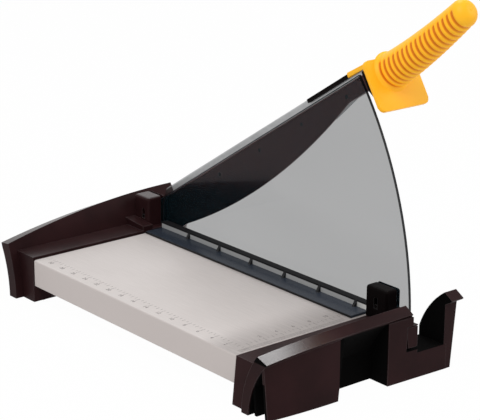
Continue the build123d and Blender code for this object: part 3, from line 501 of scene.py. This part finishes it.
def add_grip(shell, groove_shade):
    """A tapered grip with soft grooves below a smooth strip, a rounded end and a small moulding pip."""
    fine = 0.7
    turns = [2 * math.pi * i / grip_sides for i in range(grip_sides)]
    stations = [plate_face - 1.0] + [plate_face + fine * i for i in range(int(grip_length / fine) + 1)]
    rings = []
    for along in stations:
        up, radius = grip_ring(along)
        flare = root_flare * max(0.0, 1 - max(0.0, along - plate_face) / root_length) ** 2.2
        groove = groove_share(along)
        strip = strip_share + strip_widens * grip_share(along)
        ring = []
        for turn in turns:
            flank = abs(math.sin(turn)) if math.cos(turn) > 0 else 1.0
            mask = clamped((flank - strip) / strip_edge)
            mask = mask * mask * (3 - 2 * mask) * groove
            corner = grip_corner(shell, radius + flare - groove_depth * mask, turn, along, up)
            # painted shade: the groove depth, made stronger towards the upper ends of the grooves
            corner[groove_shade] = mask * (0.75 + 0.25 * math.cos(min(turn, 2 * math.pi - turn) - 0.35 * math.pi))
            ring.append(corner)
        rings.append(ring)
    end = stations[-1]
    up, radius = grip_ring(end)
    leans = [math.pi / 2 * step / 12 for step in range(1, 13)]
    tail = [(radius - grip_round * (1 - math.cos(lean)), grip_round * math.sin(lean)) for lean in leans]
    tail += [(pip_radius, grip_round), (pip_top_radius, grip_round + pip_side)]
    for reach, beyond in tail:
        rings.append([grip_corner(shell, reach, turn, end + beyond, up) for turn in turns])
    tip = shell.verts.new(on_arm(grip_middle, end + grip_round + pip_height, up))
    for first, second in zip(rings, rings[1:]):
        for i in range(grip_sides):
            j = (i + 1) % grip_sides
            shell.faces.new((first[i], first[j], second[j], second[i]))
    for i in range(grip_sides):
        shell.faces.new((rings[-1][i], rings[-1][(i + 1) % grip_sides], tip))
    shell.faces.new(list(reversed(rings[0])))


def add_slab(shell, outline, low, high, place, edge):
    """A prism with rounded edges; place turns (outline point, level) into a point."""
    ends = [[shell.verts.new(place(point, level)) for point in outline] for level in (low, high)]
    caps = [shell.faces.new(end) for end in ends]
    count = len(outline)
    for i in range(count):
        j = (i + 1) % count
        shell.faces.new((ends[0][i], ends[0][j], ends[1][j], ends[1][i]))
    rims = [line for cap in caps for line in cap.edges]
    bmesh.ops.bevel(shell, geom=rims, offset=edge / 1000, segments=3, profile=0.5, affect="EDGES",
                    clamp_overlap=True)


def rounded_outline(x0, x1, y0, y1, corner, steps=6):
    points = []
    for centre_x, centre_y, start in ((x1 - corner, y1 - corner, 0), (x0 + corner, y1 - corner, 90),
                                      (x0 + corner, y0 + corner, 180), (x1 - corner, y0 + corner, 270)):
        for i in range(steps + 1):
            turn = math.radians(start + 90 * i / steps)
            points.append((centre_x + corner * math.cos(turn), centre_y + corner * math.sin(turn)))
    return points


def across_arm(point, level):
    """For a slab drawn from the arm's front: the level runs along the arm."""
    return on_arm(point[0], level, point[1])


def beside_arm(point, level):
    """For a slab drawn from the arm's side: the level runs across it."""
    return on_arm(level, point[0], point[1])


def cut_holes(mesh, name, cutter):
    """The mesh less a cutter, as a plain mesh."""
    block = linked(name + ".block", mesh)
    tool = linked(name + ".tool", cutter)
    cut = block.modifiers.new("cut", "BOOLEAN")
    cut.operation, cut.object, cut.solver = "DIFFERENCE", tool, "EXACT"
    cut.use_self = True
    result = evaluated_mesh(block)
    bpy.data.objects.remove(tool)
    result.name = name
    return result


def make_handle():
    shell = bmesh.new()
    groove_shade = shell.verts.layers.float.new("groove")
    add_grip(shell, groove_shade)
    plate = rounded_outline(plate_left, plate_right, plate_bottom, plate_top, plate_corner)
    add_slab(shell, plate, plate_back, plate_face, across_arm, 1.0)
    hood = [(hood_start, beam_top), (hood_start, 39.3), (hood_start + 1.2, 40.45), (neck_start, 39.0),
            (hood_end - 2.0, 34.2), (hood_end, 33.0), (hood_end, neck_top), (neck_start, neck_top),
            (neck_start, beam_top)]
    add_slab(shell, hood, hood_left, hood_right, beside_arm, 0.9)
    bores = bmesh.new()
    for along in bore_places:
        bore = rounded_outline(along - bore_radius, along + bore_radius,
                               bore_up - bore_radius, bore_up + bore_radius, bore_radius - 0.001)
        add_slab(bores, bore, bore_floor, 30.0, beside_arm, 0.05)
    mesh = cut_holes(mesh_from(shell, "handle_shell"), "handle_shell", mesh_from(bores, "handle_bores"))
    piece = piece_of("handle_shell", mesh, handle_amber, "arm")
    mesh.set_sharp_from_angle(angle=math.radians(38))
    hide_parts("handle")


make_handle()


# Geometry Nodes


def start_tree(name, *inputs):
    """A tree that takes points, the given inputs and a material, and the links of what it takes."""
    tree = bpy.data.node_groups.new(name, "GeometryNodeTree")
    tree.interface.new_socket("Geometry", in_out="OUTPUT", socket_type="NodeSocketGeometry")
    for label, kind in (("Points", "Geometry"), *inputs, ("Material", "Material")):
        tree.interface.new_socket(label, in_out="INPUT", socket_type="NodeSocket" + kind)
    given = add_node(tree, "NodeGroupInput").socket.node
    return tree, {socket.name: Link(socket) for socket in given.outputs if socket.name}


def end_tree(tree, take, instance, **scale):
    """Sets the instance on every point, as one mesh in the given material."""
    placed = add_node(tree, "GeometryNodeInstanceOnPoints", {},
                      {"Points": take["Points"], "Instance": instance, **scale})
    real = add_node(tree, "GeometryNodeRealizeInstances", {}, {"Geometry": placed})
    done = add_node(tree, "GeometryNodeSetMaterial", {}, {"Geometry": real, "Material": take["Material"]})
    add_node(tree, "NodeGroupOutput", {}, {0: done})
    return tree


def points_mesh(name, points):
    mesh = bpy.data.meshes.new(name)
    mesh.from_pydata([tuple(point) for point in points], [], [])
    return mesh


def grown(name, tree, values, points):
    """Runs a tree on a mesh of points and returns the result as a plain mesh."""
    item = linked(name + ".grown", points)
    grow = item.modifiers.new("grow", "NODES")
    grow.node_group = tree
    keys = {socket.name: socket.identifier for socket in tree.interface.items_tree
            if socket.item_type == "SOCKET" and socket.in_out == "INPUT"}
    for label, value in values.items():
        grow[keys[label]] = value
    mesh = evaluated_mesh(item)
    mesh.name = name
    return mesh


# Screw heads with a cross recess


def screw_tree():
    """A screw head along +X at each point: a low cone or a cheese head, with a cross cut into it."""
    tree, take = start_tree("screw_heads", ("Head", "Float"), ("Foot", "Float"), ("Depth", "Float"),
                            ("Turn", "Float"))
    head = add_node(tree, "GeometryNodeMeshCone", {},
                    {"Vertices": 40, "Side Segments": 2, "Fill Segments": 2, "Radius Top": take["Head"],
                     "Radius Bottom": take["Foot"], "Depth": take["Depth"]})
    size = add_node(tree, "ShaderNodeCombineXYZ", {},
                    {0: take["Head"] * 1.25, 1: take["Head"] * 0.26, 2: take["Depth"] * 1.1})
    high = add_node(tree, "ShaderNodeCombineXYZ", {}, {2: take["Depth"] * 1.05})
    bar = add_node(tree, "GeometryNodeMeshCube", {}, {"Size": size})
    cross = add_node(tree, "GeometryNodeJoinGeometry")
    for turned in (0.0, math.pi / 2):
        slot = add_node(tree, "GeometryNodeTransform", {},
                        {"Geometry": bar, "Translation": high, "Rotation": (0, 0, turned)})
        tree.links.new(slot.socket, cross.socket.node.inputs[0])
    cut = add_node(tree, "GeometryNodeMeshBoolean", {"operation": "DIFFERENCE", "solver": "EXACT"},
                   {"Mesh 1": head, "Mesh 2": cross, "Self Intersection": True})
    turn = add_node(tree, "ShaderNodeCombineXYZ", {}, {2: take["Turn"]})
    head = add_node(tree, "GeometryNodeTransform", {}, {"Geometry": cut, "Rotation": turn})
    head = add_node(tree, "GeometryNodeTransform", {}, {"Geometry": head, "Rotation": (0, math.pi / 2, 0)})
    return end_tree(tree, take, head)


screw_heads = screw_tree()


def make_knife_screws():
    """Countersunk heads flush with the knife's face."""
    head, foot, depth, count = 0.0036, 0.0020, 0.0020, 6
    low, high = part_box("knife_screws")
    first, last = low[1] + head, high[1] - head
    height = (low[2] + high[2]) / 2
    places = [(high[0] - depth, first + (last - first) * i / (count - 1), height) for i in range(count)]
    mesh = grown("knife_screw_heads", screw_heads,
                 {"Head": head, "Foot": foot, "Depth": depth, "Turn": 0.5, "Material": zinc},
                 points_mesh("knife_screw_places", places))
    piece = piece_of("knife_screw_heads", mesh, zinc, "base", smooth=False)
    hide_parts("knife_screws")


def make_handle_screws():
    """Cheese heads at the bottom of the grip's two bores."""
    head, depth = 0.0032, 0.0024
    places = [on_arm(bore_floor, along, bore_up) for along in bore_places]
    mesh = grown("handle_screw_heads", screw_heads,
                 {"Head": head, "Foot": head, "Depth": depth, "Turn": 0.3, "Material": zinc},
                 points_mesh("handle_screw_places", places))
    piece = piece_of("handle_screw_heads", mesh, zinc, "arm", smooth=False)
    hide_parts("handle_screws")


make_knife_screws()
make_handle_screws()


# Printed rule on the bed, in metres

print_height = 0.00006
line_width = 0.00035
mark_pitch = 0.005
figure_pitch = 0.02
figure_height = 0.0058
side_count, near_count = 63, 29


def tick_tree():
    """Short printed bars at the points, each as long as its attribute says."""
    tree, take = start_tree("rule_ticks", ("Width", "Float"), ("Along", "Vector"), ("Across", "Vector"))
    length = add_node(tree, "GeometryNodeInputNamedAttribute", {"data_type": "FLOAT"}, {"Name": "length"})
    bar = add_node(tree, "GeometryNodeMeshCube", {}, {"Size": (1, 1, print_height)})
    long_way = add_node(tree, "ShaderNodeVectorMath", {"operation": "SCALE"},
                        {0: take["Along"], "Scale": length})
    wide_way = add_node(tree, "ShaderNodeVectorMath", {"operation": "SCALE"},
                        {0: take["Across"], "Scale": take["Width"]})
    size = add_node(tree, "ShaderNodeVectorMath", {"operation": "ADD"}, {0: long_way, 1: wide_way})
    size = add_node(tree, "ShaderNodeVectorMath", {"operation": "ADD"}, {0: size, 1: (0, 0, 1)})
    return end_tree(tree, take, bar, Scale=size)


rule_ticks = tick_tree()


def ticks(name, middles, lengths, along, across):
    mesh = points_mesh(name + ".places", middles)
    mesh.attributes.new("length", "FLOAT", "POINT").data.foreach_set("value", lengths)
    values = {"Width": line_width, "Along": along, "Across": across, "Material": ink}
    return grown(name, rule_ticks, values, mesh)


def figures(name, labels, turn):
    """Numbers laid flat as one mesh; labels are (text, x, y, z)."""
    shell = bmesh.new()
    for text, x, y, z in labels:
        curve = bpy.data.curves.new(name + ".letters", "FONT")
        curve.body, curve.size, curve.align_x, curve.align_y = text, figure_height, "CENTER", "CENTER"
        curve.resolution_u, curve.extrude = 3, print_height / 2
        mesh = evaluated_mesh(linked(name + ".letters", curve))
        mesh.transform(Matrix.Translation((x, y, z)) @ Matrix.Rotation(turn, 4, "Z"))
        shell.from_mesh(mesh)
        bpy.data.meshes.remove(mesh)
    return mesh_from(shell, name)


def mark_reaches(count):
    """Lengths of the marks: every fourth is long, and every second between."""
    return [0.006 if i % 4 == 0 else 0.0042 if i % 2 == 0 else 0.0028 for i in range(count)]


def make_rule():
    """A scale along the left side and one along the near end, with three lines beside it."""
    top = bed_high[2] + 0.00002
    left, near = bed_low[0], bed_low[1]
    side_start, near_start = near + 0.006, left + 0.024
    side_reaches, near_reaches = mark_reaches(side_count), mark_reaches(near_count)
    side_marks = [(left + 0.0175 - reach / 2, side_start + mark_pitch * i, top)
                  for i, reach in enumerate(side_reaches)]
    near_marks = [(near_start + mark_pitch * i, near + 0.0165 - reach / 2, top)
                  for i, reach in enumerate(near_reaches)]
    lines = [(left + 0.070, near + place, top) for place in (0.0035, 0.0055, 0.0075)]
    side_labels = [(str(2 * i), left + 0.0085, side_start + figure_pitch * i, top) for i in range(1, 16)]
    near_labels = [(str(2 * i), near_start + figure_pitch * i, near + 0.0215, top) for i in range(1, 7)]
    parts = [ticks("side_marks", side_marks, side_reaches, (1, 0, 0), (0, 1, 0)),
             ticks("near_marks", near_marks, near_reaches, (0, 1, 0), (1, 0, 0)),
             ticks("near_lines", lines, [0.126] * 3, (1, 0, 0), (0, 1, 0)),
             figures("side_figures", side_labels, -math.pi / 2),
             figures("near_figures", near_labels, 0.0)]
    shell = bmesh.new()
    for mesh in parts:
        shell.from_mesh(mesh)
    piece_of("bed_rule", mesh_from(shell, "bed_rule"), ink, "base", smooth=False)


make_rule()


# Floor, light and camera


def seen_directly(tree):
    """1 for rays from the camera, a reflection or a clear piece, which find plain white."""
    path = add_node(tree, "ShaderNodeLightPath").socket.node.outputs
    seen = Link(path["Is Camera Ray"]) + Link(path["Is Glossy Ray"]) + Link(path["Is Transmission Ray"])
    return seen.math("MINIMUM", seen, 1.0)


def make_floor():
    """A large pale floor, nearly white where it is seen, so that only faint shadows show."""
    half = 30
    finish = Finish("pale_floor")
    speck = finish.noise(300, detail=2)
    grey = finish.mix(speck, (0.80, 0.80, 0.80), (0.84, 0.84, 0.84))
    plain = finish.node("ShaderNodeBsdfDiffuse", {}, {"Color": grey})
    white = finish.node("ShaderNodeEmission", {}, {"Strength": 1.0})
    both = finish.node("ShaderNodeMixShader", {}, {0: seen_directly(finish.tree) * 0.985, 1: plain, 2: white})
    finish.node("ShaderNodeOutputMaterial", {}, {"Surface": both})
    mesh = bpy.data.meshes.new("floor")
    mesh.from_pydata([(-half, -half, 0), (half, -half, 0), (half, half, 0), (-half, half, 0)], [],
                     [(0, 1, 2, 3)])
    mesh.materials.append(finish.material)
    floor = linked("floor", mesh)


def make_world():
    world = bpy.data.worlds.new("studio")
    world.use_nodes = True
    tree = world.node_tree
    tree.nodes.clear()
    light = add_node(tree, "ShaderNodeBackground", {}, {"Color": (0.96, 0.98, 1, 1), "Strength": 0.55})
    white = add_node(tree, "ShaderNodeBackground", {}, {"Color": (1, 1, 1, 1), "Strength": 1.0})
    both = add_node(tree, "ShaderNodeMixShader", {}, {0: seen_directly(tree), 1: light, 2: white})
    add_node(tree, "ShaderNodeOutputWorld", {}, {"Surface": both})
    scene.world = world


def make_lamp(name, place, target, size, power):
    lamp = bpy.data.lights.new(name, "AREA")
    lamp.shape, lamp.size, lamp.energy = "DISK", size, power
    toward = Vector(target) - Vector(place)
    aim = toward.to_track_quat("-Z", "Y").to_matrix().to_4x4()
    linked(name, lamp).matrix_world = Matrix.Translation(place) @ aim


def make_camera():
    """The photograph's view: a long lens, turned 39.5 degrees and 17.6 degrees down."""
    turn, drop, roll = math.radians(39.48), math.radians(17.6), math.radians(0.28)
    from_pivot = Vector((-1.0863, -1.4470, 0.5966))
    ahead = Vector((math.sin(turn) * math.cos(drop), math.cos(turn) * math.cos(drop), -math.sin(drop)))
    right = Vector((math.cos(turn), -math.sin(turn), 0))
    up = right.cross(ahead)
    right, up = (right * math.cos(roll) + up * math.sin(roll), up * math.cos(roll) - right * math.sin(roll))
    lens = bpy.data.cameras.new("camera")
    lens.sensor_fit, lens.sensor_width, lens.lens = "HORIZONTAL", 36.0, 132.44
    axes = Matrix((right, up, -ahead)).transposed().to_4x4()
    camera = linked("camera", lens)
    camera.matrix_world = Matrix.Translation(Vector((shear_x, pivot.y, pivot.z)) + from_pivot) @ axes
    scene.camera = camera


make_floor()
make_world()
make_lamp("key", (-0.9, -0.5, 1.7), (0, 0, 0.1), 1.2, 15)
make_lamp("fill", (1.3, -1.0, 1.0), (0, 0, 0.1), 1.2, 6)
make_lamp("rim", (0.30, 0.17, 0.90), (-0.10, -0.187, 0.061), 0.24, 1.1)
make_camera()
